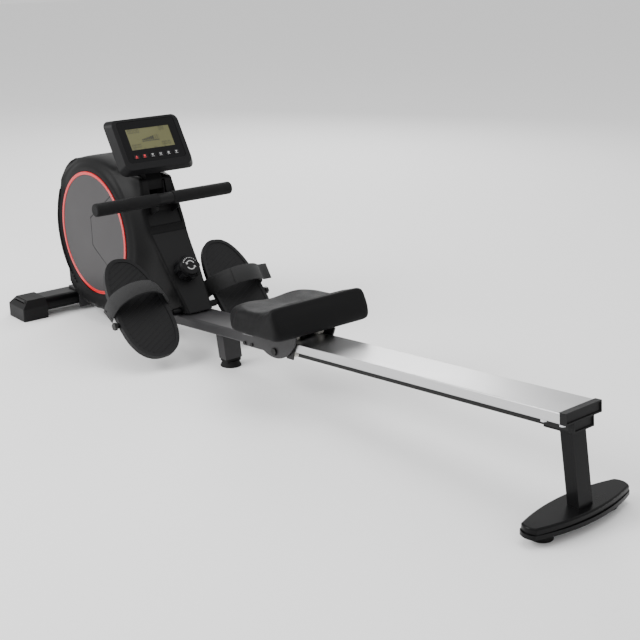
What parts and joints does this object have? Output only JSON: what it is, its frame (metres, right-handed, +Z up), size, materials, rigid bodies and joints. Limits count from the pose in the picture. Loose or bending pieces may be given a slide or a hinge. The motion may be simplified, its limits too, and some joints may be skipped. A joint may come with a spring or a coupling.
{
  "type": "rowing machine",
  "caption": "Folding magnetic rowing machine with a drum-shaped flywheel housing, strap-pulled handle, pivoting footplates, tilted console and a seat that rolls on an aluminium rail.",
  "frame": {"origin": "on the floor under the middle of the machine's length and width", "axes": "+X rearward along the rail, +Y to the rower's right, +Z up"},
  "size_m": [1.8882, 0.491, 0.5891],
  "materials": {
    "frame_paint": "satin grey-black powder coat",
    "tube_gloss": "gloss black paint",
    "cap_plastic": "fine matte texture",
    "housing_plastic": "fine matte texture",
    "disc_plastic": "satin grey",
    "ring_red": "bright red, satin gloss",
    "console_plastic": "fine matte texture",
    "fascia_gloss": "piano black",
    "display": "olive liquid crystal",
    "key_gloss": "black with printed mark",
    "plain_steel": "machined",
    "zinc": "bright zinc",
    "black_steel": "blackened",
    "cast_rim": "turned",
    "belt_rubber": "ribbed",
    "rail_aluminium": "brushed, clear anodised",
    "foot_rubber": "matte",
    "grip_foam": "closed-cell foam",
    "webbing": "woven polyester",
    "seat_vinyl": "grained vinyl",
    "pedal_plastic": "moulded, fine texture",
    "roller_plastic": "nylon",
    "magnet": "ground",
    "cable_jacket": "smooth"
  },
  "bodies": {
    "frame": {"main_beam": "frame_paint", "stabilizer_tube": "tube_gloss", "stabilizer_caps": "cap_plastic", "frame_bolts": "black_steel", "mid_leg": "frame_paint", "mid_foot": "foot_rubber", "hinge_ears": "frame_paint", "hinge_bolt": "black_steel", "pedal_spindle": "black_steel", "housing_left": "housing_plastic", "housing_right": "housing_plastic", "rear_cover_lower": "housing_plastic", "rear_cover_upper": "housing_plastic", "side_disc_left": "disc_plastic", "side_disc_right": "disc_plastic", "side_ring_left": "ring_red", "side_ring_right": "ring_red", "mast_plates": "frame_paint", "axles": "plain_steel", "recoil_spring": "plain_steel", "drive_belt": "belt_rubber", "resistance_cable": "cable_jacket", "console_back": "console_plastic", "console_front": "console_plastic", "console_fascia": "fascia_gloss", "lcd_panel": "display", "console_neck": "housing_plastic"},
    "flywheel": {"flywheel": "cast_rim"},
    "drive_pulley": {"drive_pulley": "roller_plastic"},
    "strap_reel": {"strap_reel": "roller_plastic"},
    "guide_roller": {"guide_roller": "roller_plastic"},
    "magnet_yoke": {"magnet_yoke": "magnet"},
    "knob": {"resistance_knob": "console_plastic"},
    "handle": {"handle_bar": "plain_steel", "hand_grips": "grip_foam", "strap_bracket": "console_plastic", "pull_strap": "webbing"},
    "pedal_left": {"footplate_left": "pedal_plastic", "foot_strap_left": "webbing"},
    "pedal_right": {"footplate_right": "pedal_plastic", "foot_strap_right": "webbing"},
    "rail": {"rail_profile": "rail_aluminium", "rail_tube": "black_steel", "rail_end_cap": "cap_plastic", "rear_leg": "tube_gloss", "leg_bolts": "zinc", "rear_base": "tube_gloss", "rear_feet": "foot_rubber"},
    "seat": {"seat_pad": "seat_vinyl", "seat_carriage": "black_steel", "carriage_axles": "plain_steel"},
    "rollers_front": {"rollers_front": "roller_plastic"},
    "rollers_rear": {"rollers_rear": "roller_plastic"},
    "rollers_lower": {"rollers_lower": "roller_plastic"},
    "key_1": {"key_1": "key_gloss"},
    "key_2": {"key_2": "key_gloss"},
    "key_3": {"key_3": "key_gloss"},
    "key_4": {"key_4": "key_gloss"},
    "key_5": {"key_5": "key_gloss"},
    "key_6": {"key_6": "key_gloss"}
  },
  "joints": [
    {"name": "rail_fold", "type": "hinge", "parent": "frame", "child": "rail", "pos_m": [0.06341, 0, 0.12233], "axis": [0, -1, 0], "range_deg": [0, 20]},
    {"name": "seat_slide", "type": "slide", "parent": "rail", "child": "seat", "axis": [0.9954, 0, 0.0962], "range_m": [0, 0.7]},
    {"name": "rollers_front_spin", "type": "hinge", "parent": "seat", "child": "rollers_front", "pos_m": [0.00987, 0, 0.15664], "axis": [0, 1, 0], "range_deg": [-5, 4020.71]},
    {"name": "rollers_rear_spin", "type": "hinge", "parent": "seat", "child": "rollers_rear", "pos_m": [0.1094, 0, 0.16626], "axis": [0, 1, 0], "range_deg": [-5, 4020.71]},
    {"name": "rollers_lower_spin", "type": "hinge", "parent": "seat", "child": "rollers_lower", "pos_m": [0.11331, 0, 0.12585], "axis": [0, -1, 0], "range_deg": [-5, 5023.38]},
    {"name": "handle_pull", "type": "slide", "parent": "frame", "child": "handle", "axis": [0.9954, 0, 0.0962], "range_m": [0, 0.9], "stiffness_N_per_m": 20, "springref_m": -0.3},
    {"name": "reel_spin", "type": "hinge", "parent": "frame", "child": "strap_reel", "pos_m": [-0.49938, 0, 0.236], "axis": [0, 1, 0], "range_deg": [-5, 1621.44]},
    {"name": "guide_roller_spin", "type": "hinge", "parent": "frame", "child": "guide_roller", "pos_m": [-0.52138, 0, 0.372], "axis": [0, 1, 0], "range_deg": [-5, 6455.78]},
    {"name": "flywheel_spin", "type": "hinge", "parent": "frame", "child": "flywheel", "pos_m": [-0.70868, 0, 0.2614], "axis": [0, 1, 0], "continuous": true},
    {"name": "drive_pulley_spin", "type": "hinge", "parent": "frame", "child": "drive_pulley", "pos_m": [-0.49938, 0, 0.236], "axis": [0, 1, 0], "continuous": true},
    {"name": "pedal_left_tilt", "type": "hinge", "parent": "frame", "child": "pedal_left", "pos_m": [-0.35637, -0.151, 0.1145], "axis": [0, 1, 0], "range_deg": [-15, 20]},
    {"name": "pedal_right_tilt", "type": "hinge", "parent": "frame", "child": "pedal_right", "pos_m": [-0.35637, 0.151, 0.1145], "axis": [0, 1, 0], "range_deg": [-15, 20]},
    {"name": "knob_turn", "type": "hinge", "parent": "frame", "child": "knob", "pos_m": [-0.39087, 0, 0.2094], "axis": [0.8053, 0, 0.5929], "range_deg": [0, 270]},
    {"name": "magnet_yoke_swing", "type": "hinge", "parent": "frame", "child": "magnet_yoke", "pos_m": [-0.83667, 0, 0.2794], "axis": [0, -1, 0], "range_deg": [0, 4]},
    {"name": "key_1_press", "type": "slide", "parent": "frame", "child": "key_1", "axis": [-0.8415, 0, -0.5402], "range_m": [0, 0.001], "stiffness_N_per_m": 400, "springref_m": -0.0005},
    {"name": "key_2_press", "type": "slide", "parent": "frame", "child": "key_2", "axis": [-0.8415, 0, -0.5402], "range_m": [0, 0.001], "stiffness_N_per_m": 400, "springref_m": -0.0005},
    {"name": "key_3_press", "type": "slide", "parent": "frame", "child": "key_3", "axis": [-0.8415, 0, -0.5402], "range_m": [0, 0.001], "stiffness_N_per_m": 400, "springref_m": -0.0005},
    {"name": "key_4_press", "type": "slide", "parent": "frame", "child": "key_4", "axis": [-0.8415, 0, -0.5402], "range_m": [0, 0.001], "stiffness_N_per_m": 400, "springref_m": -0.0005},
    {"name": "key_5_press", "type": "slide", "parent": "frame", "child": "key_5", "axis": [-0.8415, 0, -0.5402], "range_m": [0, 0.001], "stiffness_N_per_m": 400, "springref_m": -0.0005},
    {"name": "key_6_press", "type": "slide", "parent": "frame", "child": "key_6", "axis": [-0.8415, 0, -0.5402], "range_m": [0, 0.001], "stiffness_N_per_m": 400, "springref_m": -0.0005}
  ],
  "couplings": [
    {"joint": "rollers_front_spin", "follows": "seat_slide", "rad_per_m": 100},
    {"joint": "rollers_rear_spin", "follows": "seat_slide", "rad_per_m": 100},
    {"joint": "rollers_lower_spin", "follows": "seat_slide", "rad_per_m": 125},
    {"joint": "reel_spin", "follows": "handle_pull", "rad_per_m": 31.25},
    {"joint": "guide_roller_spin", "follows": "handle_pull", "rad_per_m": 125},
    {"joint": "drive_pulley_spin", "follows": "flywheel_spin", "ratio": 0.33858},
    {"joint": "magnet_yoke_swing", "follows": "knob_turn", "ratio": 0.014815}
  ]
}
